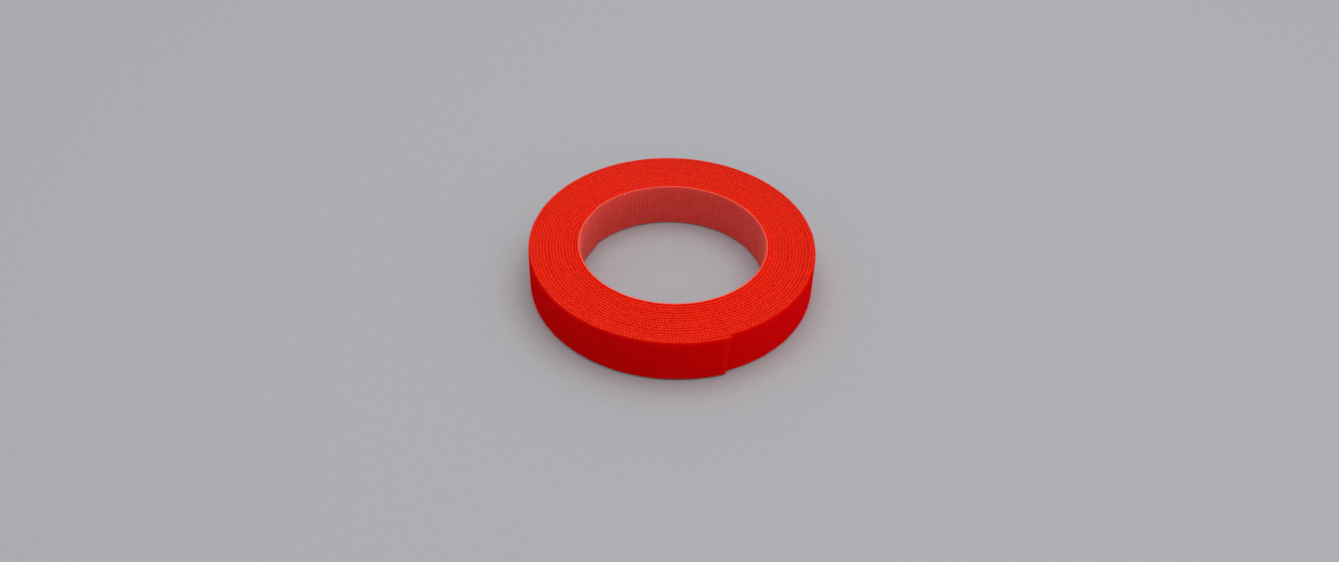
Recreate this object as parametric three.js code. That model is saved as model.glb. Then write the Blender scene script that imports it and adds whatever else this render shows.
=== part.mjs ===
// Roll of back-to-back hook and loop tape: a loop cloth bonded to a moulded hook film, wound flat on
// itself with no core. Each turn's hooks sink into the loops of the turn inside it, which holds the roll.
// Millimetres, +Z up. The origin is on the winding axis, in the plane of the edge that the roll lies on.
import * as THREE from "three";

// Tape section. The hook film faces the bore and the loop cloth faces out.
const TAPE_WIDTH = 19;
const HOOK_FILM = 0.35;
const BOND_LINE = 0.06;
const LOOP_CLOTH = 0.43;
const HOOK_HEIGHT = 0.5;

// Winding, seen from above. Bearings are degrees counter-clockwise from +X, and the radius grows that way.
const BORE_RADIUS = 36.6;
const WHOLE_TURNS = 15;
const INNER_END_BEARING = 148;
const OUTER_END_BEARING = 293;
const FACETS_PER_TURN = 34;

// With no core to hold it, the bore is pressed out of round: its radius is larger by the squeeze along one
// bearing, smaller by as much across it, and its centre lies off the axis by the shift.
const BORE_SQUEEZE = 0.75;
const SQUEEZE_BEARING = 5;
const BORE_SHIFT = 0.35;
const SHIFT_BEARING = 220;

// The scissor cut at the outer end leans: its top corner reaches this much further than its bottom one.
const OUTER_CUT_LEAN = 1.6;

// Free ends. The pull tab peels outwards and the inner tail peels into the bore, each bending at facet
// lines, so a stretch is a facet long. A slit at each line keeps the stretches on its two sides apart.
const TAB_STRETCHES = 6;
const TAIL_STRETCHES = 3;
const FLEX_SLIT = 0.3;

// Depths of the ply faces, outwards from the face that the hooks stand on.
const HOOK_FACES = [0, HOOK_FILM];
const LOOP_FACES = [HOOK_FILM + BOND_LINE, HOOK_FILM + BOND_LINE + LOOP_CLOTH];
const TAPE_THICKNESS = LOOP_FACES[1];
const PITCH = TAPE_THICKNESS + HOOK_HEIGHT;

const FULL_TURN = 2 * Math.PI;
const FACET_ANGLE = FULL_TURN / FACETS_PER_TURN;
const LEAST_FACET = FACET_ANGLE / 40;
const INNER_END = THREE.MathUtils.degToRad(INNER_END_BEARING);
const SQUEEZE_AXIS = THREE.MathUtils.degToRad(SQUEEZE_BEARING);
const SHIFT_AXIS = THREE.MathUtils.degToRad(SHIFT_BEARING);
const PART_TURN = THREE.MathUtils.degToRad(OUTER_END_BEARING - INNER_END_BEARING);
const WOUND_ANGLE = WHOLE_TURNS * FULL_TURN + PART_TURN;

const PLIES = [
  { ply: "hook_film", faces: HOOK_FACES, finish: { color: 0xb4423c, roughness: 0.4, metalness: 0 } },
  { ply: "loop_cloth", faces: LOOP_FACES, finish: { color: 0xb40a0a, roughness: 0.95, metalness: 0 } },
];

// Radius of an even winding at an angle along it, counted from the inner end, and at a depth in the tape.
function evenRadius(angle, depth) {
  return BORE_RADIUS + (PITCH * angle) / FULL_TURN + depth;
}

// How far the pressed winding lies outside an even one: in full at the inner end, fading to none at the outer.
function outOfRound(angle) {
  const bearing = INNER_END + angle;
  const oval = BORE_SQUEEZE * Math.cos(2 * (bearing - SQUEEZE_AXIS));
  const shift = BORE_SHIFT * Math.cos(bearing - SHIFT_AXIS);
  return (oval + shift) * (1 - angle / WOUND_ANGLE);
}

function radiusAt(angle, depth) {
  return evenRadius(angle, depth) + outOfRound(angle);
}

function pointAt(angle, depth, height) {
  const radius = radiusAt(angle, depth);
  const bearing = INNER_END + angle;
  return new THREE.Vector3(radius * Math.cos(bearing), radius * Math.sin(bearing), height);
}

// The winding angle that a length of tape takes up at a place along it.
function angleOf(length, angle) {
  return length / radiusAt(angle, TAPE_THICKNESS);
}

// Angles where a stretch has its sections: its two ends, and between them the facet lines, which lie on
// the same bearings in every turn so that neighbouring turns stay parallel.
function sectionAngles({ from, to, lean }) {
  const lastLine = to - angleOf(lean, to) - LEAST_FACET;
  const angles = [from];
  let line = Math.ceil((from + LEAST_FACET) / FACET_ANGLE) * FACET_ANGLE;
  for (; line < lastLine; line += FACET_ANGLE) {
    angles.push(line);
  }
  angles.push(to);
  return angles;
}

// One ply of a stretch of tape: a four-cornered section carried along the winding, closed at both ends.
function plyGeometry(stretch, [innerDepth, outerDepth]) {
  const angles = sectionAngles(stretch);
  const far = angles.length - 1;
  const points = angles.flatMap((angle, i) => {
    const bottom = i === far ? angle - angleOf(stretch.lean, angle) : angle;
    return [
      pointAt(bottom, innerDepth, 0),
      pointAt(bottom, outerDepth, 0),
      pointAt(angle, outerDepth, TAPE_WIDTH),
      pointAt(angle, innerDepth, TAPE_WIDTH),
    ];
  });
  const faces = [0, 1, 2, 0, 2, 3];
  for (let i = 0; i < far; i++) {
    for (let corner = 0; corner < 4; corner++) {
      const a = 4 * i + corner;
      const b = 4 * i + ((corner + 1) % 4);
      faces.push(a, b + 4, b, a, a + 4, b + 4);
    }
  }
  const end = 4 * far;
  faces.push(end, end + 2, end + 1, end, end + 3, end + 2);
  return new THREE.BufferGeometry().setFromPoints(points).setIndex(faces);
}

// Both plies of a stretch, drawn about its pivot.
function plyMeshes(stretch) {
  const { name, pivot } = stretch;
  return PLIES.map(({ ply, faces, finish }) => {
    const geometry = plyGeometry(stretch, faces).translate(-pivot.x, -pivot.y, -pivot.z);
    geometry.computeVertexNormals();
    const mesh = new THREE.Mesh(geometry, new THREE.MeshStandardMaterial(finish));
    mesh.name = `${ply}_${name}`;
    return mesh;
  });
}

// The stretches of a free end, from its root to its tip. Each one's pivot is its flex line, on the face
// that the end peels towards, where the tape stays whole as it bends.
function freeEnd({ name, rootLine, count, tip, pivotDepth, tipLean }) {
  const root = rootLine * FACET_ANGLE;
  const direction = Math.sign(tip - root);
  const halfSlit = direction * angleOf(FLEX_SLIT / 2, root);
  return Array.from({ length: count }, (_, i) => {
    const isTip = i === count - 1;
    const line = root + i * direction * FACET_ANGLE;
    const near = line + halfSlit;
    const far = isTip ? tip : line + direction * FACET_ANGLE - halfSlit;
    return {
      name: `${name}_${i + 1}`,
      from: Math.min(near, far),
      to: Math.max(near, far),
      lean: isTip ? tipLean : 0,
      pivot: pointAt(line, pivotDepth, 0),
    };
  });
}

// Hangs each stretch of a free end in a group on its flex line, inside the group of the stretch before
// it: turning a group about Z bends the tape there and carries the rest of the end along.
function addFreeEnd(roll, stretches) {
  let parent = roll;
  const parentPivot = new THREE.Vector3();
  for (const stretch of stretches) {
    const flex = new THREE.Group();
    flex.name = `${stretch.name}_flex`;
    flex.position.copy(stretch.pivot).sub(parentPivot);
    flex.add(...plyMeshes(stretch));
    parent.add(flex);
    parent = flex;
    parentPivot.copy(stretch.pivot);
  }
}

// The least clear space between a turn and the turn inside it: from the ends and middles of the hook
// film's facets to the facets of the loop cloth one turn further in.
function leastGapBetweenTurns(stretches) {
  const facets = stretches.flatMap((stretch) => {
    const angles = sectionAngles(stretch);
    return angles.slice(1).map((to, i) => ({ from: angles[i], to }));
  });
  const chord = ({ from, to }, depth) => new THREE.Line3(pointAt(from, depth, 0), pointAt(to, depth, 0));
  const point = new THREE.Vector3();
  const nearest = new THREE.Vector3();
  let least = Infinity;
  for (const outer of facets) {
    const film = chord(outer, 0);
    const turnInside = facets.filter(({ from }) => Math.abs(outer.from - from - FULL_TURN) < Math.PI / 2);
    for (const inner of turnInside) {
      const cloth = chord(inner, TAPE_THICKNESS);
      for (const share of [0, 0.5, 1]) {
        film.at(share, point);
        cloth.closestPointToPoint(point, true, nearest);
        least = Math.min(least, point.distanceTo(nearest));
      }
    }
  }
  return least;
}

const pullTab = freeEnd({
  name: "pull_tab",
  rootLine: Math.round(WOUND_ANGLE / FACET_ANGLE) - TAB_STRETCHES,
  count: TAB_STRETCHES,
  tip: WOUND_ANGLE,
  pivotDepth: TAPE_THICKNESS,
  tipLean: OUTER_CUT_LEAN,
});
const innerTail = freeEnd({
  name: "inner_tail",
  rootLine: TAIL_STRETCHES,
  count: TAIL_STRETCHES,
  tip: 0,
  pivotDepth: 0,
  tipLean: 0,
});
const coil = {
  name: "coil",
  from: innerTail[0].to + angleOf(FLEX_SLIT, innerTail[0].to),
  to: pullTab[0].from - angleOf(FLEX_SLIT, pullTab[0].from),
  lean: 0,
  pivot: new THREE.Vector3(),
};

const roll = new THREE.Group();
roll.name = "tape_roll";
roll.add(...plyMeshes(coil));
addFreeEnd(roll, pullTab);
addFreeEnd(roll, innerTail);

const tapeLength = WOUND_ANGLE * evenRadius(WOUND_ANGLE / 2, TAPE_THICKNESS / 2);
console.log(`tape length ${(tapeLength / 1000).toFixed(2)} m`);
const leastGap = leastGapBetweenTurns([coil, ...pullTab, ...innerTail]);
console.log(`least gap between turns ${leastGap.toFixed(3)} mm`);

export default roll;
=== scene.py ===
# %% [markdown]
# # A roll of hook and loop tape
# The object is one long tape with two faces: a red cloth of small loops outside and a moulded film of
# small hooks inside. It is wound flat on itself, with no core. The packed CAD model gives the sizes and
# the moving bodies, and this lesson gives each of them its real surface. It starts by loading that
# model.

# %% Load the frame
import math

import bpy
import numpy as np
from mathutils import Matrix, Vector


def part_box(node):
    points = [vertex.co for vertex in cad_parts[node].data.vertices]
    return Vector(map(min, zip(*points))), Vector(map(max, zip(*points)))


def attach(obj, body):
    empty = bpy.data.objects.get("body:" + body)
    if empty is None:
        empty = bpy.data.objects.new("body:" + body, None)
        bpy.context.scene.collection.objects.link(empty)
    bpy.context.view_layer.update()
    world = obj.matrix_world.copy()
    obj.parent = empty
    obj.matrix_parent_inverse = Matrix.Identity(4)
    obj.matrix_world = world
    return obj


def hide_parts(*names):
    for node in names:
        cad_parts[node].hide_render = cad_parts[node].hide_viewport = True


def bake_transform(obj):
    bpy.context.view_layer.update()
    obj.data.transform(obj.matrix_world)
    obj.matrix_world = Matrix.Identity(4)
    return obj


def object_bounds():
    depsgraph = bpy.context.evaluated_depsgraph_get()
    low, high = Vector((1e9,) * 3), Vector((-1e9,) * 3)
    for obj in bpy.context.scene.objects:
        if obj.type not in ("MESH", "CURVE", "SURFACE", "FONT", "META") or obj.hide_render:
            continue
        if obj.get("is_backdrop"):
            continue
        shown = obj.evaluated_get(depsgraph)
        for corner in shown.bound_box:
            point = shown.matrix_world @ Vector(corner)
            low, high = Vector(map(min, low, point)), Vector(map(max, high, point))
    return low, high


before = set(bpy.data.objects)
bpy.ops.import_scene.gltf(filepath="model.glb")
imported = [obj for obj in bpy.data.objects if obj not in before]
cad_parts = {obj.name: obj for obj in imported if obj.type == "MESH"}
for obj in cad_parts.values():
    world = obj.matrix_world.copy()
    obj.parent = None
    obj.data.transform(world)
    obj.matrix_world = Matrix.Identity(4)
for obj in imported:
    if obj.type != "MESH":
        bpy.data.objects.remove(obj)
cad_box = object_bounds()
MM = 0.001

# %% [markdown]
# ## Camera
# A photograph is matched by three things: how far away the lens was, how high it looked down from, and
# its focal length. Both rims of the roll were measured in the photograph, and the values below are
# those of the camera that puts them there. The focal length is in pixels of the photograph, so it is
# turned into millimetres on the sensor. The picture hangs a little clockwise, which is the camera's
# roll.

# %% Set the camera up
PHOTO_WIDTH = 1339
FOCAL_PIXELS = 1240
CAMERA_HEIGHT_ANGLE = math.radians(41.6)
CAMERA_ROLL = math.radians(1.88)
CAMERA_DISTANCE = 509.2 * MM
LOOK_AT = Vector((-0.95, -2.07, 0.35)) * MM

bpy.ops.object.select_all(action="DESELECT")
bpy.ops.object.camera_add()
camera = bpy.context.object
camera.name = "photo_camera"
camera.data.sensor_fit = "HORIZONTAL"
camera.data.lens = camera.data.sensor_width * FOCAL_PIXELS / PHOTO_WIDTH
tilt = Matrix.Rotation(math.pi / 2 - CAMERA_HEIGHT_ANGLE, 4, "X")
backwards = tilt @ Vector((0, 0, 1))
place = Matrix.Translation(LOOK_AT + CAMERA_DISTANCE * backwards)
camera.matrix_world = place @ tilt @ Matrix.Rotation(CAMERA_ROLL, 4, "Z")
camera.data.dof.use_dof = False
bpy.context.scene.camera = camera

print(f"lens {camera.data.lens:.1f} mm, {camera.location.z:.3f} m above the floor")

# %% [markdown]
# ## Shader sums
# A finish is a small sum: this much grain, a little more at the cut edge. Built node by node that is
# hard to read, so one class wraps a node's output. Its operators add Math nodes, and its add method
# adds any other node, with its settings before its sockets.

# %% A socket that can be added and multiplied


class Wire:
    """An output socket. Sums and products of wires and numbers add Math nodes to its tree."""

    def __init__(self, socket):
        self.socket = socket

    @staticmethod
    def add(tree, kind, settings, sockets, output=0):
        """Adds a node with its settings, then fills or links its sockets, and gives one output."""
        node = tree.nodes.new(kind)
        for name, value in settings.items():
            setattr(node, name, value)
        for name, value in sockets.items():
            if isinstance(value, Wire):
                tree.links.new(value.socket, node.inputs[name])
            else:
                node.inputs[name].default_value = value
        return Wire(node.outputs[output]) if node.outputs else None

    def math(self, operation, first, second):
        tree = self.socket.id_data
        return Wire.add(tree, "ShaderNodeMath", {"operation": operation}, {0: first, 1: second})

    def __add__(self, other):
        return self.math("ADD", self, other)

    def __sub__(self, other):
        return self.math("SUBTRACT", self, other)

    def __rsub__(self, other):
        return self.math("SUBTRACT", other, self)

    def __mul__(self, other):
        return self.math("MULTIPLY", self, other)

    def __abs__(self):
        return self.math("ABSOLUTE", self, 0)

    __radd__ = __add__
    __rmul__ = __mul__


print("operators:", [name for name in vars(Wire) if name.startswith("__r")])

# %% Helpers that every finish uses


def start_finish(name):
    """A new material and its empty node tree."""
    material = bpy.data.materials.new(name)
    material.use_nodes = True
    material.node_tree.nodes.clear()
    return material, material.node_tree


def noise(tree, place, size, detail):
    """Cloudy grain from 0 to 1, whose grains are about this size in metres."""
    sockets = {"Vector": place, "Scale": 1 / size, "Detail": detail}
    return Wire.add(tree, "ShaderNodeTexNoise", {}, sockets, "Fac")


def ramp(tree, value, low, high):
    """0 where the value is below low, 1 where it is above high, and smooth between."""
    sockets = {"Value": value, "From Min": low, "From Max": high}
    return Wire.add(tree, "ShaderNodeMapRange", {"interpolation_type": "SMOOTHSTEP"}, sockets)


def mixed(tree, factor, first, second):
    """A colour between two colours."""
    return Wire.add(tree, "ShaderNodeMix", {"data_type": "RGBA"}, {0: factor, 6: first, 7: second}, 2)


def end_finish(tree, surface):
    """Closes a finish with a Principled shader."""
    shader = Wire.add(tree, "ShaderNodeBsdfPrincipled", {}, surface)
    Wire.add(tree, "ShaderNodeOutputMaterial", {}, {"Surface": shader})


print("finish helpers ready")

# %% [markdown]
# ## Studio
# The roll lies on a plain pale table under an even sky. A large soft lamp hangs overhead, so the edges
# of the tape are bright and the wall below them is about half as bright. A low wide one stands to the
# right and makes the wall lighter towards that side. So low a lamp would draw a bright streak on the
# floor, so light linking leaves the floor out of its light. Standard is chosen as view transform,
# because Blender's usual one bleaches a strong red.

# %% Floor
FLOOR_SIZE = 6
FLOOR_PALE = (0.41, 0.42, 0.44, 1)
FLOOR_SHADE = (0.38, 0.39, 0.41, 1)
FLOOR_GRAIN = 3 * MM
FLOOR_ROUGHNESS = 0.5
ROUGHNESS_CHANGE = 0.2


def table_finish():
    material, tree = start_finish("pale_table_top")
    place = Wire.add(tree, "ShaderNodeTexCoord", {}, {}, "Object")
    grain = noise(tree, place, FLOOR_GRAIN, 3)
    surface = {
        "Base Color": mixed(tree, grain, FLOOR_PALE, FLOOR_SHADE),
        "Roughness": FLOOR_ROUGHNESS + ROUGHNESS_CHANGE * grain,
        "Specular IOR Level": 0.2,
    }
    end_finish(tree, surface)
    return material


bpy.ops.object.select_all(action="DESELECT")
bpy.ops.mesh.primitive_plane_add(size=FLOOR_SIZE)
floor = bpy.context.object
floor.name = "studio_floor"
floor.data.materials.append(table_finish())
floor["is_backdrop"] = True
print("floor", FLOOR_SIZE, "m wide")

# %% Light
SKY_STRENGTH = 0.49
LAMP_SIZE = (1.5, 1.5)
LAMP_POWER = 13.5
LAMP_PLACE = Vector((0.13, 0.05, 1.3))
SIDE_LAMP_SIZE = (1, 0.2)
SIDE_LAMP_POWER = 2.2
SIDE_LAMP_PLACE = Vector((0.985, -0.175, 0.1))


def soft_lamp(name, place, size, power):
    """A rectangular lamp that faces the roll."""
    bpy.ops.object.light_add(type="AREA", location=place)
    lamp = bpy.context.object
    lamp.name = name
    lamp.data.shape = "RECTANGLE"
    lamp.data.size, lamp.data.size_y = size
    lamp.data.energy = power
    lamp.rotation_euler = (-place).to_track_quat("-Z", "Y").to_euler()
    print(name, "at", tuple(round(v, 2) for v in place))
    return lamp


soft_lamp("overhead_lamp", LAMP_PLACE, LAMP_SIZE, LAMP_POWER)
side_lamp = soft_lamp("side_lamp", SIDE_LAMP_PLACE, SIDE_LAMP_SIZE, SIDE_LAMP_POWER)
bpy.ops.object.select_all(action="DESELECT")
floor.select_set(True)
bpy.context.view_layer.objects.active = side_lamp
bpy.ops.object.light_linking_receivers_link(link_state="EXCLUDE")

sky = bpy.data.worlds.new("even_sky")
sky.use_nodes = True
sky.node_tree.nodes["Background"].inputs["Color"].default_value = (1, 1, 1, 1)
sky.node_tree.nodes["Background"].inputs["Strength"].default_value = SKY_STRENGTH
bpy.context.scene.world = sky
bpy.context.scene.view_settings.view_transform = "Standard"

print("sky of strength", SKY_STRENGTH)

# %% [markdown]
# ## The tape and its winding
# A tape is made flat and wound afterwards, so every piece here is modelled flat too: X runs along the
# tape from its inner end, Y is the depth from the film's inner face outwards, and Z is the height above
# the floor. One function then winds a flat piece. It works out how far round the spiral each point
# lies, and it keeps the flat place as an attribute, which the finishes read so that their grain follows
# the tape.

# %% Sizes of the tape and of the roll
TAPE_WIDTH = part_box("loop_cloth_coil")[1][2]
FILM_DEPTH = 0.36 * MM
TAPE_DEPTH = 0.84 * MM
PITCH = 1.34 * MM
BORE_RADIUS = 36.6 * MM
INNER_END = math.radians(148)
WOUND_ANGLE = math.radians(15 * 360 + 145)
CUT_LEAN = 1.6 * MM
FLEX_STEP = 2 * math.pi / 34
NEUTRAL_RADIUS = BORE_RADIUS + TAPE_DEPTH / 2
GROWTH = PITCH / (2 * math.pi)


def length_at(angle):
    """Length of tape from its inner end to an angle along the winding."""
    return NEUTRAL_RADIUS * angle + GROWTH * angle**2 / 2


def angle_at(length):
    """The angle along the winding that a length of tape reaches."""
    return (np.sqrt(NEUTRAL_RADIUS**2 + 2 * GROWTH * length) - NEUTRAL_RADIUS) / GROWTH


TAPE_LENGTH = length_at(WOUND_ANGLE)
print(f"tape {TAPE_LENGTH:.3f} m long and {TAPE_WIDTH / MM:.1f} mm wide")

# %% [markdown]
# ## A hand-wound spiral
# A true spiral looks like a machine part. On the real roll the turns stray and ripple a little, the
# bore was squeezed in handling until it is wider than it is deep, the inner end is pressed into the
# loops behind it, and the outer end stands off a trace. Each of these is one small term in the sum that
# gives a point's distance from the axis. No wave fits into a turn a whole number of times, so no two
# turns are alike. They aren't quite level either: the first and the last ones stand a trace higher than
# the rest.

# %% Wind a flat place onto the spiral
STRAY = 0.05 * MM
RIPPLE = 0.025 * MM
LIFT = 0.08 * MM
END_LIFT = 0.5 * MM
SQUEEZE = 0.75 * MM
SQUEEZE_BEARING = math.radians(5)
OFF_CENTRE = 0.35 * MM
OFF_CENTRE_BEARING = math.radians(220)
TAIL_PRESS = 0.38 * MM
TAIL_PRESS_ANGLE = math.radians(75)
TAB_LIFT = 0.4 * MM
TAB_LIFT_ANGLE = math.radians(25)


def unevenness(angle):
    """How far a hand-wound turn lies outside the true spiral at an angle along it."""
    bearing = INNER_END + angle
    stray = STRAY * (np.sin(0.83 * angle + 0.4) + np.sin(0.37 * angle + 2.1))
    ripple = RIPPLE * (np.sin(23.7 * angle) + np.sin(37.3 * angle + 1.9))
    oval = SQUEEZE * np.cos(2 * (bearing - SQUEEZE_BEARING))
    shift = OFF_CENTRE * np.cos(bearing - OFF_CENTRE_BEARING)
    press = TAIL_PRESS * np.clip(1 - angle / TAIL_PRESS_ANGLE, 0, 1) ** 2
    off = TAB_LIFT * np.clip(1 - (WOUND_ANGLE - angle) / TAB_LIFT_ANGLE, 0, 1) ** 2
    return stray + ripple + (oval + shift) * (1 - angle / WOUND_ANGLE) + press + off


def wound(flat):
    """Places on the roll of flat places on the tape."""
    length, depth, height = np.asarray(flat, float).T
    angle = angle_at(length)
    radius = BORE_RADIUS + GROWTH * angle + depth + unevenness(angle)
    bearing = INNER_END + angle
    lift = LIFT * (1 + 0.6 * np.sin(0.61 * angle) + 0.4 * np.sin(1.27 * angle + 1.3))
    lift += END_LIFT * (2 * angle / WOUND_ANGLE - 1) ** 4
    return np.stack([radius * np.cos(bearing), radius * np.sin(bearing), height + lift], axis=1)


def coordinates(piece):
    """A mesh object's vertices as rows of three numbers."""
    found = np.empty(3 * len(piece.data.vertices))
    piece.data.vertices.foreach_get("co", found)
    return found.reshape(-1, 3)


def wind(piece):
    """Winds a flat piece and keeps its flat places in the attribute named tape."""
    flat = coordinates(piece)
    kept = piece.data.attributes.new("tape", "FLOAT_VECTOR", "POINT")
    kept.data.foreach_set("vector", flat.ravel())
    piece.data.vertices.foreach_set("co", wound(flat).ravel())
    piece.data.update()
    print(piece.name, "wound,", sum(len(face.vertices) - 2 for face in piece.data.polygons), "triangles")


print("outer end lies at", np.round(wound([[TAPE_LENGTH, TAPE_DEPTH, 0]])[0] / MM, 2), "mm")

# %% [markdown]
# ## Finish of the loop cloth
# The cloth is dyed nylon, brushed until it looks like felt: no gloss, and a red that changes at random.
# Between its loops it is a deep red and on the loops that rise off it a lighter red: painted shade in
# the hollows and a painted highlight where the loops catch the light. Towards its edges and ends it is
# loosened, and a painted highlight there stands for the light that the loosened pile catches. The cuts
# themselves are uneven, because the blade frayed the fibres. Noise in three sizes gives the fibres, the
# fraying and the uneven brushing. The cuts are known by the place on the tape.

# %% Loop cloth
CLOTH_DEEP = (0.70, 0.0003, 0.0012, 1)
# The lighter end of the felt is also the painted highlight on the loops.
CLOTH_LIGHT = (0.90, 0.0008, 0.0016, 1)
# Painted highlight along the edges and ends, for the light that the loosened pile there catches.
CLOTH_EDGE_HIGHLIGHT = (0.93, 0.003, 0.002, 1)
CLOTH_CUT = (0.57, 0.005, 0.001, 1)
CLOTH_FRAYED = (0.82, 0.015, 0.001, 1)
FIBRE = 0.3 * MM
FRAYING = 0.9 * MM
FIBRE_RELIEF = 0.08 * MM
BRUSHING = 5 * MM
LOOP_RISE = 0.4 * MM
EDGE_HIGHLIGHT_SHARE = 0.6
EDGE_HIGHLIGHT_BAND = 2.5 * MM
CUT_BAND = 0.2 * MM
CLOTH_ROUGHNESS = 0.8


def flat_place(tree):
    """The flat place on the tape, as a vector and as its three parts."""
    place = Wire.add(tree, "ShaderNodeAttribute", {"attribute_name": "tape"}, {}, "Vector")
    parts = [Wire.add(tree, "ShaderNodeSeparateXYZ", {}, {0: place}, axis) for axis in "XYZ"]
    return place, parts


def near_edge(tree, height, band):
    """1 at the two long edges of the tape and 0 further than a band from them."""
    return ramp(tree, abs(height - TAPE_WIDTH / 2), TAPE_WIDTH / 2 - band, TAPE_WIDTH / 2)


def near_end(tree, length, height, band):
    """1 on the cuts across the ends, of which the outer one leans, and 0 further than a band off."""
    to_outer = TAPE_LENGTH - CUT_LEAN - length + CUT_LEAN / TAPE_WIDTH * height
    return 1 - ramp(tree, length, 0, band) * ramp(tree, to_outer, 0, band)


def cut_colour(tree, place, plain, frayed):
    """The colour of a cut, uneven as the fibres frayed."""
    return mixed(tree, ramp(tree, noise(tree, place, FRAYING, 2), 0.35, 0.65), plain, frayed)


def near_cuts(tree, length, height, band):
    """1 on every cut, along the edges and across the ends, and 0 further than a band from them."""
    return 1 - (1 - near_edge(tree, height, band)) * (1 - near_end(tree, length, height, band))


def loop_cloth_finish():
    material, tree = start_finish("loop_cloth_felt")
    place, (length, depth, height) = flat_place(tree)
    fibre = noise(tree, place, FIBRE, 3)
    brushing = noise(tree, place, BRUSHING, 2)
    # Painted highlight: the loops are lighter the further they rise off the cloth, as where they catch
    # the light.
    painted_loop_highlight = ramp(tree, depth, TAPE_DEPTH, TAPE_DEPTH + LOOP_RISE)
    tone_and_loop_highlight = ramp(tree, 0.5 * fibre + 0.3 * brushing + 0.3 * painted_loop_highlight, 0.25, 0.75)
    felt = mixed(tree, tone_and_loop_highlight, CLOTH_DEEP, CLOTH_LIGHT)
    # Painted highlight: the felt is lighter within a band of every cut.
    edge_highlighted = mixed(tree, EDGE_HIGHLIGHT_SHARE * near_cuts(tree, length, height, EDGE_HIGHLIGHT_BAND), felt, CLOTH_EDGE_HIGHLIGHT)
    frayed = cut_colour(tree, place, CLOTH_CUT, CLOTH_FRAYED)
    bump = {"Height": fibre, "Strength": 0.5, "Distance": FIBRE_RELIEF}
    surface = {
        "Base Color": mixed(tree, near_cuts(tree, length, height, CUT_BAND), edge_highlighted, frayed),
        "Roughness": CLOTH_ROUGHNESS + ROUGHNESS_CHANGE * fibre,
        "Specular IOR Level": 0.02,
        "Sheen Weight": 0.05,
        "Sheen Roughness": 0.5,
        "Sheen Tint": (1, 0.02, 0.01, 1),
        "Normal": Wire.add(tree, "ShaderNodeBump", {}, bump),
    }
    end_finish(tree, surface)
    return material


cloth_finish = loop_cloth_finish()
print(cloth_finish.name, len(cloth_finish.node_tree.nodes), "nodes")

# %% [markdown]
# ## Finish of the hook film
# The film is moulded nylon of the same dye, but thin and full of hooks that scatter white light, so it
# looks dusty pink beside the cloth. A coat gives its moulded faces a soft gloss, and its cuts are matt.
# The hooks grow towards the bore, so their depth on the tape is below zero, and that alone tells the
# shader where their tips are. The tips are painted paler, a painted sheen for the white light that the
# hooks scatter. Along the rim of the bore and at the inner cut, light shines through the film, and that
# light is painted in as its palest colour.

# %% Hook film
FILM_RED = (0.83, 0.036, 0.029, 1)
# Painted sheen: the hooks' tips are paler, for the white light that they scatter.
FILM_TIP_SHEEN = (0.90, 0.15, 0.118, 1)
FILM_CUT = (0.71, 0.013, 0.001, 1)
FILM_FRAYED = (0.91, 0.028, 0.003, 1)
# Painted light: the palest colour, for the light that shines through the film at the rim of the bore and
# at the inner cut.
FILM_THROUGH_LIGHT = (0.9, 0.12, 0.075, 1)
FILM_GRAIN = 0.25 * MM
FILM_RELIEF = 0.03 * MM
FILM_CLOUDS = 5 * MM
FILM_ROUGHNESS = 0.42
FILM_GLOSS = 0.6
TIP_RISE = 0.3 * MM
RIM_BAND = 0.7 * MM
RIM_DEPTH = 0.1 * MM
INNER_CUT_BAND = 2 * MM
INNER_CUT_LIGHT = 0.9
ONE_TURN = length_at(2 * math.pi)
BORE_FADE = 10 * MM


def hook_film_finish():
    material, tree = start_finish("hook_film_nylon")
    place, (length, depth, height) = flat_place(tree)
    grain = noise(tree, place, FILM_GRAIN, 2)
    clouds = noise(tree, place, FILM_CLOUDS, 2)
    # Painted sheen on the tips, growing with the depth of the hook.
    tip_sheen = ramp(tree, -1 * depth, 0, TIP_RISE)
    tone_and_tip_sheen = ramp(tree, 0.6 * tip_sheen + 0.25 * clouds + 0.15 * grain, 0.1, 0.9)
    body = mixed(tree, tone_and_tip_sheen, FILM_RED, FILM_TIP_SHEEN)
    cut = near_cuts(tree, length, height, CUT_BAND)
    edged = mixed(tree, cut, body, cut_colour(tree, place, FILM_CUT, FILM_FRAYED))
    open_side = ramp(tree, -1 * depth, -FILM_DEPTH, -RIM_DEPTH)
    in_bore = 1 - ramp(tree, length, ONE_TURN, ONE_TURN + BORE_FADE)
    inner_cut_light = 1 - ramp(tree, length, 0, INNER_CUT_BAND)
    # Painted light along both rims on the hooks' side and at the inner cut, in the first turn only.
    open_rim_light = near_edge(tree, height, RIM_BAND) * open_side
    painted_through_light = 1 - (1 - open_rim_light) * (1 - INNER_CUT_LIGHT * inner_cut_light)
    bump = {"Height": grain, "Strength": 0.3, "Distance": FILM_RELIEF}
    surface = {
        "Base Color": mixed(tree, painted_through_light * in_bore, edged, FILM_THROUGH_LIGHT),
        "Roughness": FILM_ROUGHNESS + ROUGHNESS_CHANGE * grain,
        "Specular IOR Level": 0.1,
        "Coat Weight": FILM_GLOSS * (1 - cut),
        "Coat Roughness": 0.5,
        "Normal": Wire.add(tree, "ShaderNodeBump", {}, bump),
    }
    end_finish(tree, surface)
    return material


film_finish = hook_film_finish()
print(film_finish.name, len(film_finish.node_tree.nodes), "nodes")

# %% [markdown]
# ## The two plies
# Each ply is a strip with a rounded section. A Screw modifier that doesn't turn pulls a section out
# straight in equal steps, which is quicker than thousands of extrusions by hand. So the section starts
# as a plane as thick as the ply and as wide as the tape, its corners are bevelled, and its outline is
# pulled out and closed.

# %% A flat strip
SMOOTH_ANGLE = math.radians(50)


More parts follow.
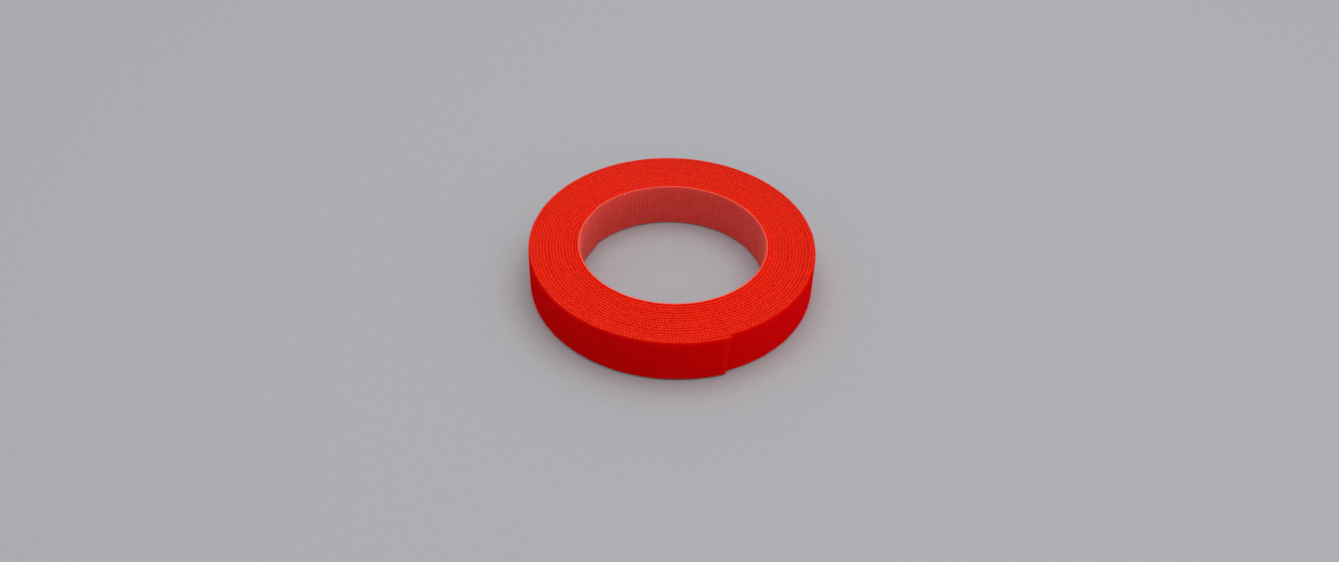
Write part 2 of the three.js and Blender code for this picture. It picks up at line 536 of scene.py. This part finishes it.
def flat_strip(name, depths, lengths, step, rounding, drop=0):
    """A flat strip between two depths and two lengths, its rounded edges a drop inside the tape's."""
    middle = (lengths[0], sum(depths) / 2, TAPE_WIDTH / 2)
    upright = (0, math.pi / 2, 0)
    bpy.ops.object.select_all(action="DESELECT")
    bpy.ops.mesh.primitive_plane_add(size=1, calc_uvs=False, location=middle, rotation=upright)
    strip = bpy.context.object
    strip.name = name
    strip.scale = (TAPE_WIDTH - 2 * drop, depths[1] - depths[0], 1)
    bpy.ops.object.transform_apply()
    bpy.ops.object.mode_set(mode="EDIT")
    bpy.ops.mesh.select_all(action="SELECT")
    bpy.ops.mesh.bevel(affect="VERTICES", offset=rounding, segments=2)
    bpy.ops.mesh.delete(type="ONLY_FACE")
    bpy.ops.object.mode_set(mode="OBJECT")
    pull = strip.modifiers.new("pull", "SCREW")
    pull.axis = "X"
    pull.angle = 0
    pull.screw_offset = lengths[1] - lengths[0]
    pull.steps = max(2, round(pull.screw_offset / step))
    pull.render_steps = pull.steps
    bpy.ops.object.modifier_apply(modifier=pull.name)
    bpy.ops.object.mode_set(mode="EDIT")
    bpy.ops.mesh.select_all(action="SELECT")
    bpy.ops.mesh.fill_holes(sides=0)
    bpy.ops.mesh.normals_make_consistent(inside=False)
    bpy.ops.object.mode_set(mode="OBJECT")
    return strip


def finish_piece(piece, material):
    """Winds a flat piece, smooths its rounded edges and gives it its finish."""
    wind(piece)
    bpy.ops.object.select_all(action="DESELECT")
    piece.select_set(True)
    bpy.context.view_layer.objects.active = piece
    bpy.ops.object.shade_smooth_by_angle(angle=SMOOTH_ANGLE)
    piece.data.materials.clear()
    piece.data.materials.append(material)


BONDED = 0.02 * MM
FILM_DEPTHS = (0, FILM_DEPTH)
CLOTH_DEPTHS = (FILM_DEPTH - BONDED, TAPE_DEPTH)
FILM_ROUNDING = 0.06 * MM
CLOTH_ROUNDING = 0.12 * MM
print("section of the film", FILM_DEPTHS, "and of the cloth", CLOTH_DEPTHS)

# %% [markdown]
# ## Where the ends bend
# The model bends the two free ends at flex lines, one step of the winding apart. Tape doesn't crease
# there: it curves. So the pieces meet halfway between flex lines, and each piece has the one flex line
# in its middle. Counted in steps along the winding, the tail's lines are 3, 2 and 1, and the tab's are
# the six before the outer end.

# %% Pieces along the tape
TAIL_COUNT = 3
TAB_COUNT = 6
END_STEP = WOUND_ANGLE / FLEX_STEP
TURN_STEPS = 2 * math.pi / FLEX_STEP
TAB_ROOT = round(END_STEP) - TAB_COUNT


def length_at_step(step):
    """Length of tape up to a count of flex steps along the winding."""
    return length_at(step * FLEX_STEP)


tail_spans = [(TAIL_COUNT - 0.5 - k, TAIL_COUNT + 0.5 - k) for k in range(TAIL_COUNT - 1)]
tail_spans.append((0, 1.5))
tab_spans = [(TAB_ROOT - 0.5 + k, TAB_ROOT + 0.5 + k) for k in range(TAB_COUNT - 1)]
tab_spans.append((TAB_ROOT + TAB_COUNT - 1.5, END_STEP))
coil_span = (TAIL_COUNT + 0.5, TAB_ROOT - 0.5)
for name, spans in (("tail", tail_spans), ("coil", [coil_span]), ("tab", tab_spans)):
    print(name, "in steps:", [tuple(round(step, 2) for step in span) for span in spans])

# %% The wound coil, both plies
COIL_STEP = 2 * MM
coil_lengths = [length_at_step(step) for step in coil_span]
cloth_coil = flat_strip("cloth_coil", CLOTH_DEPTHS, coil_lengths, COIL_STEP, CLOTH_ROUNDING)
finish_piece(cloth_coil, cloth_finish)
film_coil = flat_strip("film_coil", FILM_DEPTHS, coil_lengths, COIL_STEP, FILM_ROUNDING)
finish_piece(film_coil, film_finish)

# %% [markdown]
# ## The pile between the turns
# Between two turns the loops are packed full of the next turn's hooks. No single loop can be told
# there, and without the packed pile the spaces would be black lines. A third strip fills them to a
# little below the cut edges, and its rims are moved by a seeded generator, so that they are as ragged
# as packed loops. It stops where the pull tab begins to cover the cloth, because single loops stand
# there.

# %% A ragged strip of packed loops
SEED = 19
PEEL_MARGIN = 0.5
PACKED_ROOT = 0.1 * MM
PACKED_PRESS = 0.04 * MM
PACKED_DEPTHS = (TAPE_DEPTH - PACKED_ROOT, PITCH + PACKED_PRESS)
PACKED_ROUNDING = 0.1 * MM
PACKED_DROP = 0.42 * MM
PACKED_STEP = 1 * MM
PACKED_RAGGED = 0.22 * MM

draw = np.random.default_rng(SEED)
pile_start = END_STEP - TURN_STEPS - TAB_COUNT - PEEL_MARGIN
packed_lengths = (coil_lengths[0], length_at_step(pile_start))
pile_packed = flat_strip(
    "pile_packed", PACKED_DEPTHS, packed_lengths, PACKED_STEP, PACKED_ROUNDING, PACKED_DROP
)
flat = coordinates(pile_packed)
flat[:, 2] += draw.uniform(-1, 1, len(flat)) * PACKED_RAGGED
pile_packed.data.vertices.foreach_set("co", flat.ravel())
finish_piece(pile_packed, cloth_finish)

# %% [markdown]
# ## One hook
# A moulded hook is a short broad stem whose top curls over. A plane as big as its root is extruded and
# narrowed for the stem, and the top face is then spun about a line beside it, which curls it over. With
# no window, spin turns against the sign of its angle. The tip is drawn in. A hook is repeated thousands
# of times, so a few dozen triangles have to do.

# %% Model the hook
HOOK_ROOT = 0.66 * MM
HOOK_WIDTH = 0.3 * MM
HOOK_SINK = 0.03 * MM
STEM_HEIGHT = 0.1 * MM
STEM_TAPER = (0.6, 1, 0.9)
CURL_RADIUS = 0.21 * MM
CURL_ANGLE = math.radians(150)
CURL_STEPS = 3
TIP_TAPER = (0.6, 0.6, 0.8)
MERGE_GAP = 0.001 * MM


def model_hook():
    bpy.ops.object.select_all(action="DESELECT")
    bpy.ops.mesh.primitive_plane_add(size=1, location=(0, HOOK_SINK, 0), rotation=(math.pi / 2, 0, 0))
    hook = bpy.context.object
    hook.name = "hook_pattern"
    hook.scale = (HOOK_ROOT, HOOK_WIDTH, 1)
    bpy.ops.object.transform_apply()
    bpy.ops.object.mode_set(mode="EDIT")
    bpy.ops.mesh.select_all(action="SELECT")
    stem = {"value": (0, -STEM_HEIGHT - HOOK_SINK, 0)}
    bpy.ops.mesh.extrude_region_move(TRANSFORM_OT_translate=stem)
    bpy.ops.transform.resize(value=STEM_TAPER)
    beside = (CURL_RADIUS, -STEM_HEIGHT, 0)
    bpy.ops.mesh.spin(steps=CURL_STEPS, angle=-CURL_ANGLE, center=beside, axis=(0, 0, 1))
    bpy.ops.transform.resize(value=TIP_TAPER)
    bpy.ops.mesh.select_all(action="SELECT")
    bpy.ops.mesh.remove_doubles(threshold=MERGE_GAP)
    bpy.ops.mesh.normals_make_consistent(inside=False)
    bpy.ops.object.mode_set(mode="OBJECT")
    return hook


hook_pattern = model_hook()
hook_reach = -coordinates(hook_pattern)[:, 1].min()
print(f"hook of {len(hook_pattern.data.polygons)} faces, {hook_reach / MM:.2f} mm tall")

# %% [markdown]
# ## Room on a map for every copy
# When the finished roll is exported, its colours are painted onto maps. Thousands of small copies are
# slow to unfold one by one, so the pattern is unfolded once, and each copy then gets a square cell of
# its own on the map of its piece. The export looks for a map of the name below.

# %% Unfold a pattern, and give cells to its copies
MAP_NAME = "OFBake"
CELL_MARGIN = 0.05
ISLAND_ANGLE = math.radians(66)


def unfold(pattern):
    """Unfolds a pattern on a map of its own, which fills the unit square."""
    bpy.ops.object.select_all(action="DESELECT")
    pattern.select_set(True)
    bpy.context.view_layer.objects.active = pattern
    bpy.ops.object.mode_set(mode="EDIT")
    bpy.ops.mesh.select_all(action="SELECT")
    bpy.ops.uv.smart_project(angle_limit=ISLAND_ANGLE, island_margin=0.02, scale_to_bounds=True)
    bpy.ops.object.mode_set(mode="OBJECT")
    unfolded = np.empty(2 * len(pattern.data.loops))
    pattern.data.uv_layers.active.uv.foreach_get("vector", unfolded)
    pattern.data.uv_layers.remove(pattern.data.uv_layers.active)
    return unfolded.reshape(-1, 2)


def give_cells(piece, unfolded):
    """Lays the unfolded pattern into one cell of the piece's map for every copy of it in the piece."""
    copies = len(piece.data.loops) // len(unfolded)
    side = math.ceil(math.sqrt(copies))
    cells = np.stack(np.divmod(np.arange(copies), side), axis=1)
    inside = CELL_MARGIN + (1 - 2 * CELL_MARGIN) * unfolded
    layer = piece.data.uv_layers.new(name=MAP_NAME)
    layer.uv.foreach_set("vector", ((cells[:, None] + inside) / side).ravel())


hook_unfolded = unfold(hook_pattern)
print("corners on the hook's map:", len(hook_unfolded))

# %% [markdown]
# ## Hooks in rows
# Hooks stand in rows along the tape. Each row faces the other way than its neighbour and starts half a
# pitch later, so that the tape holds when pulled either way. So two hooks are a pattern: the second is
# a mirrored copy of the first, one row further up. Two Array modifiers repeat it, across the tape and
# along it.

# %% A field of hooks on the flat tape
HOOK_PITCH = 1.25 * MM
HOOK_ROWS = 22
EDGE_ROW = HOOK_WIDTH / 2
ROW_PITCH = (TAPE_WIDTH - 2 * EDGE_ROW) / (HOOK_ROWS - 1)


def copy_of(piece, name):
    """A copy of an object with a mesh of its own, selected alone."""
    bpy.ops.object.select_all(action="DESELECT")
    copy = piece.copy()
    copy.data = piece.data.copy()
    copy.name = name
    bpy.context.collection.objects.link(copy)
    copy.select_set(True)
    bpy.context.view_layer.objects.active = copy
    return copy


def repeat(piece, count, offset):
    """Repeats a piece with an Array modifier and applies it."""
    array = piece.modifiers.new("repeat", "ARRAY")
    array.count = count
    array.use_relative_offset = False
    array.use_constant_offset = True
    array.constant_offset_displace = offset
    bpy.ops.object.modifier_apply(modifier=array.name)


def model_pair(hook):
    """Two neighbouring hooks: the second one mirrored, half a pitch on and one row up."""
    pair = copy_of(hook, "hook_pair")
    bpy.ops.object.mode_set(mode="EDIT")
    bpy.ops.mesh.select_all(action="SELECT")
    bpy.ops.mesh.duplicate_move(TRANSFORM_OT_translate={"value": (HOOK_PITCH / 2, 0, ROW_PITCH)})
    bpy.ops.transform.resize(value=(-1, 1, 1), center_override=(HOOK_PITCH / 2, 0, ROW_PITCH))
    bpy.ops.mesh.flip_normals()
    bpy.ops.object.mode_set(mode="OBJECT")
    return pair


def hook_rows(name, pattern, lengths, height, across):
    """Rows of hooks between two lengths of tape, with a pitch that lets a whole number fit."""
    field = copy_of(pattern, name)
    count = max(1, round((lengths[1] - lengths[0]) / HOOK_PITCH))
    pitch = (lengths[1] - lengths[0]) / count
    field.location = (lengths[0] + pitch / 4, 0, height)
    bpy.ops.object.transform_apply()
    if across > 1:
        repeat(field, across, (0, 0, 2 * ROW_PITCH))
    repeat(field, count, (pitch, 0, 0))
    return field


hook_pair = model_pair(hook_pattern)
print("two hooks:", len(hook_pair.data.polygons), "faces, rows", round(ROW_PITCH / MM, 3), "mm apart")

# %% [markdown]
# ## Hooks of the coil
# Hooks show in three places on the coil: on the whole bore wall, and as one row along the top and one
# along the bottom of every turn, where they bridge the gap between the turns and dot it. Hooks deeper
# between the turns can't be seen from anywhere, so they are left out. The bore field runs on past one
# turn, because the inner end peels away from the start of the second turn.

# %% Bore wall and both edges
bore_steps = (coil_span[0], TURN_STEPS + TAIL_COUNT + PEEL_MARGIN)
bore_lengths = [length_at_step(step) for step in bore_steps]
edge_lengths = (bore_lengths[1], coil_lengths[1])
hooks_bore = hook_rows("hooks_bore", hook_pair, bore_lengths, EDGE_ROW, HOOK_ROWS // 2)
hooks_lower_edge = hook_rows("hooks_lower_edge", hook_pattern, edge_lengths, EDGE_ROW, 1)
hooks_upper_edge = hook_rows("hooks_upper_edge", hook_pattern, edge_lengths, TAPE_WIDTH - EDGE_ROW, 1)
coil_hooks = (hooks_bore, hooks_lower_edge, hooks_upper_edge)
for piece in coil_hooks:
    give_cells(piece, hook_unfolded)
    finish_piece(piece, film_finish)

# %% [markdown]
# ## One loop of the pile
# The loops of the cloth are fine nylon threads that rise and come back down. A three-sided circle,
# which is enough for so thin a thread, is spun half a turn about a line between its feet. The arch is
# then stretched to its height, and its feet sink a little into the cloth.

# %% Model the loop
THREAD = 0.036 * MM
LOOP_SPAN = 0.38 * MM
LOOP_HEIGHT = 0.26 * MM
LOOP_SINK = 0.05 * MM
LOOP_STEPS = 4


def model_loop():
    foot = (-LOOP_SPAN / 2, 0, 0)
    turned = (-math.pi / 2, 0, 0)
    bpy.ops.object.select_all(action="DESELECT")
    bpy.ops.mesh.primitive_circle_add(
        vertices=3, radius=THREAD, fill_type="NGON", location=foot, rotation=turned
    )
    loop = bpy.context.object
    loop.name = "loop_pattern"
    bpy.ops.object.transform_apply()
    bpy.ops.object.mode_set(mode="EDIT")
    bpy.ops.mesh.select_all(action="SELECT")
    bpy.ops.mesh.spin(steps=LOOP_STEPS, angle=math.pi, center=(0, 0, 0), axis=(0, 0, 1))
    bpy.ops.mesh.select_all(action="SELECT")
    stretch = (LOOP_HEIGHT + LOOP_SINK) / (LOOP_SPAN / 2)
    bpy.ops.transform.resize(value=(1, stretch, 1), center_override=(0, 0, 0))
    bpy.ops.transform.translate(value=(0, -LOOP_SINK, 0))
    bpy.ops.mesh.remove_doubles(threshold=MERGE_GAP)
    bpy.ops.mesh.normals_make_consistent(inside=False)
    bpy.ops.object.mode_set(mode="OBJECT")
    return loop


loop_pattern = model_loop()
loop_unfolded = unfold(loop_pattern)
loop_reach = coordinates(loop_pattern)[:, 1].max()
print(f"loop of {len(loop_pattern.data.polygons)} faces, {loop_reach / MM:.2f} mm tall")

# %% [markdown]
# ## The pile
# Brushing turns the loops every way, so no Array gives the pile. Each loop gets a place on a loose
# grid, a turn, a lean and a size of its own, drawn from the seeded generator, so that every run gives
# the same cloth. All the copies on a piece are worked out at once with numpy and go into one mesh.

# %% Scatter loops over the flat tape
PILE_SPACING = 0.52 * MM
PILE_MARGIN = 0.3 * MM
PILE_STRAY = 0.4
PILE_LEAN = math.radians(28)
LOOP_SIZES = (0.8, 1.2)


def loose_grid(lengths, draw):
    """Places on the cloth, a spacing apart and each moved a little."""
    along = np.arange(lengths[0], lengths[1], PILE_SPACING) + PILE_SPACING / 2
    across = np.linspace(PILE_MARGIN, TAPE_WIDTH - PILE_MARGIN, round(TAPE_WIDTH / PILE_SPACING))
    spots = np.stack(np.meshgrid(along, across, indexing="ij"), axis=-1).reshape(-1, 2)
    spots += draw.uniform(-PILE_STRAY, PILE_STRAY, spots.shape) * PILE_SPACING
    spots[:, 0] = spots[:, 0].clip(lengths[0] + PILE_MARGIN, lengths[1] - PILE_MARGIN)
    spots[:, 1] = spots[:, 1].clip(PILE_MARGIN, TAPE_WIDTH - PILE_MARGIN)
    return spots


def turned_copies(shape, spots, draw):
    """The pattern's points for every spot, each copy turned, leaned and sized by itself."""
    count = len(spots)
    turn = draw.uniform(0, 2 * math.pi, count)[:, None]
    lean = draw.normal(0, PILE_LEAN, count)[:, None]
    size = draw.uniform(*LOOP_SIZES, count)[:, None]
    x, y, z = (size * part for part in shape.T)
    leaned = z * np.cos(lean) + y * np.sin(lean)
    rise = y * np.cos(lean) - z * np.sin(lean)
    along = spots[:, :1] + x * np.cos(turn) + leaned * np.sin(turn)
    across = spots[:, 1:] - x * np.sin(turn) + leaned * np.cos(turn)
    return np.stack([along, TAPE_DEPTH + rise, across.clip(0, TAPE_WIDTH)], axis=-1)


def scatter(name, pattern, spots, draw):
    """One mesh with a copy of the pattern at every spot."""
    points = turned_copies(coordinates(pattern), spots, draw)
    faces = [list(face.vertices) for face in pattern.data.polygons]
    per_copy = points.shape[1]
    all_faces = [[v + per_copy * k for v in face] for k in range(len(spots)) for face in faces]
    mesh = bpy.data.meshes.new(name)
    mesh.from_pydata(points.reshape(-1, 3).tolist(), [], all_faces)
    piece = bpy.data.objects.new(name, mesh)
    bpy.context.collection.objects.link(piece)
    return piece


print("loops per square centimetre:", round((10 * MM / PILE_SPACING) ** 2))

# %% Pile on the outside of the coil
PILE_PIECES = 4
pile_cuts = np.linspace(pile_start, coil_span[1], PILE_PIECES + 1)
coil_pile = []
for number, steps in enumerate(zip(pile_cuts, pile_cuts[1:]), start=1):
    spots = loose_grid([length_at_step(step) for step in steps], draw)
    piece = scatter(f"pile_coil_{number}", loop_pattern, spots, draw)
    give_cells(piece, loop_unfolded)
    finish_piece(piece, cloth_finish)
    coil_pile.append(piece)

# %% [markdown]
# ## The free ends
# A stretch of a free end is a short piece of both plies. Its loops and hooks go with it, so they are
# joined to its plies while all is flat, and the joined piece is wound once. Both ends were cut by hand
# with scissors. The blades pinch the plies together at the inner cut, and the outer cut leans: its top
# reaches further than its bottom. Bent tape is longer on its outside, which would open the seams
# between the stretches. So each one has short tongues, a hair thinner than the tape, that lie inside
# the pieces beside it.

# %% Shape a cut end
CUT_PINCH = 0.5
PINCH_LENGTH = 3 * MM


def lean_cut(piece, lengths):
    """Draws the foot of the outer end back, more and more towards the cut."""
    flat = coordinates(piece)
    share = (flat[:, 0] - lengths[0]) / (lengths[1] - lengths[0])
    flat[:, 0] -= CUT_LEAN * share * (1 - flat[:, 2] / TAPE_WIDTH)
    piece.data.vertices.foreach_set("co", flat.ravel())


def pinch_cut(piece):
    """Thins the inner end towards its cut, from the side of the bore."""
    flat = coordinates(piece)
    share = np.clip(1 - flat[:, 0] / PINCH_LENGTH, 0, 1)
    flat[:, 1] += CUT_PINCH * share * (TAPE_DEPTH - flat[:, 1])
    piece.data.vertices.foreach_set("co", flat.ravel())


def joined(piece, addition):
    """Joins one flat object into another."""
    bpy.ops.object.select_all(action="DESELECT")
    addition.select_set(True)
    piece.select_set(True)
    bpy.context.view_layer.objects.active = piece
    bpy.ops.object.join()
    return piece


print("cut leans by", CUT_LEAN / MM, "mm")

# %% Slip the stretches into each other
END_FINE_STEP = 0.5 * MM
TONGUE = 0.2 * MM
TONGUE_INSET = 0.03 * MM


def tongued_strip(name, depths, span, rounding):
    """A strip for a stretch, with thinner tongues past its ends that slip into the strips beside it."""
    near, far = (length_at_step(step) for step in span)
    reach = (near - TONGUE * (span[0] > 0), far + TONGUE * (span[1] < END_STEP))
    strip = flat_strip(name, depths, reach, END_FINE_STEP, rounding)
    flat = coordinates(strip)
    tongue = (flat[:, 0] < near - TONGUE / 2) | (flat[:, 0] > far + TONGUE / 2)
    middle = np.array([sum(depths), TAPE_WIDTH]) / 2
    flat[tongue, 1:] -= TONGUE_INSET * np.sign(flat[tongue, 1:] - middle)
    strip.data.vertices.foreach_set("co", flat.ravel())
    return strip


print("tongues reach", TONGUE / MM, "mm into the next stretch")

# %% Stretches of both free ends


def end_stretch(part, span):
    """Cloth and film of one stretch, with their loops and hooks, wound into place."""
    lengths = [length_at_step(step) for step in span]
    cloth = tongued_strip(f"cloth_{part}", CLOTH_DEPTHS, span, CLOTH_ROUNDING)
    pile = scatter(f"pile_{part}", loop_pattern, loose_grid(lengths, draw), draw)
    film = tongued_strip(f"film_{part}", FILM_DEPTHS, span, FILM_ROUNDING)
    hooks = hook_rows(f"hooks_{part}", hook_pair, lengths, EDGE_ROW, HOOK_ROWS // 2)
    plies = (joined(cloth, pile), joined(film, hooks))
    for piece, finish in zip(plies, (cloth_finish, film_finish)):
        if span[1] == END_STEP:
            lean_cut(piece, lengths)
        if span[0] == 0:
            pinch_cut(piece)
        finish_piece(piece, finish)
    return plies


tab = [end_stretch(f"tab_{number}", span) for number, span in enumerate(tab_spans, start=1)]
tail = [end_stretch(f"tail_{number}", span) for number, span in enumerate(tail_spans, start=1)]
for pattern in (hook_pattern, hook_pair, loop_pattern):
    bpy.data.objects.remove(pattern)

# %% [markdown]
# ## Bodies
# The coil's pieces ride on the coil. A stretch of a free end lies across one flex line, and for each one
# a blend line is worked out, from the body before that line to the body after it. The blend lines run on
# past the meetings of the stretches, by a share that was worked out so that both stretches point the
# same way there. The stretches stay where they were wound. Each piece stands for the CAD solid of its
# ply, which then isn't shown.

# %% Tie the coil to its body
for piece in (cloth_coil, pile_packed, *coil_pile):
    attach(piece, "coil")
for piece in (film_coil, *coil_hooks):
    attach(piece, "coil")
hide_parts("loop_cloth_coil")
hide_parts("hook_film_coil")
print("coil tied")

# %% Work out the stretches' blend lines and hide their CAD solids
MEETING_SHARE = 0.317


def middle_at(step):
    """The middle of the tape at a count of flex steps along the winding."""
    return tuple(wound([[length_at_step(step), TAPE_DEPTH / 2, TAPE_WIDTH / 2]])[0])


def tie_end(stretches, body, spans):
    """Works out each stretch's blend line from the body before its flex line to the body after it, bakes
    its transform and hides the CAD solids of its plies.
    """
    for number, (plies, (near, far)) in enumerate(zip(stretches, spans), start=1):
        after = f"{body}_{number}"
        near_share = 0 if number == 1 else MEETING_SHARE
        far_share = 1 if number == len(stretches) else 1 - MEETING_SHARE
        whole = (far - near) / (far_share - near_share)
        start = middle_at(near - near_share * whole)
        end = middle_at(far + (1 - far_share) * whole)
        for piece, ply in zip(plies, ("loop_cloth", "hook_film")):
            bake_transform(piece)
            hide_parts(f"{ply}_{after}")


tie_end(tab, "pull_tab", tab_spans)
tie_end(tail, "inner_tail", [(far, near) for near, far in tail_spans])
print("free ends tied:", len(tab) + len(tail), "stretches")

# %% Print the CAD box and the dressed box
dressed_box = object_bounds()
boxes = {"cad": [list(corner) for corner in cad_box], "visual": [list(corner) for corner in dressed_box]}
for name, box in boxes.items():
    print(name, "box in millimetres:", np.round(np.array(box) / MM, 2).tolist())
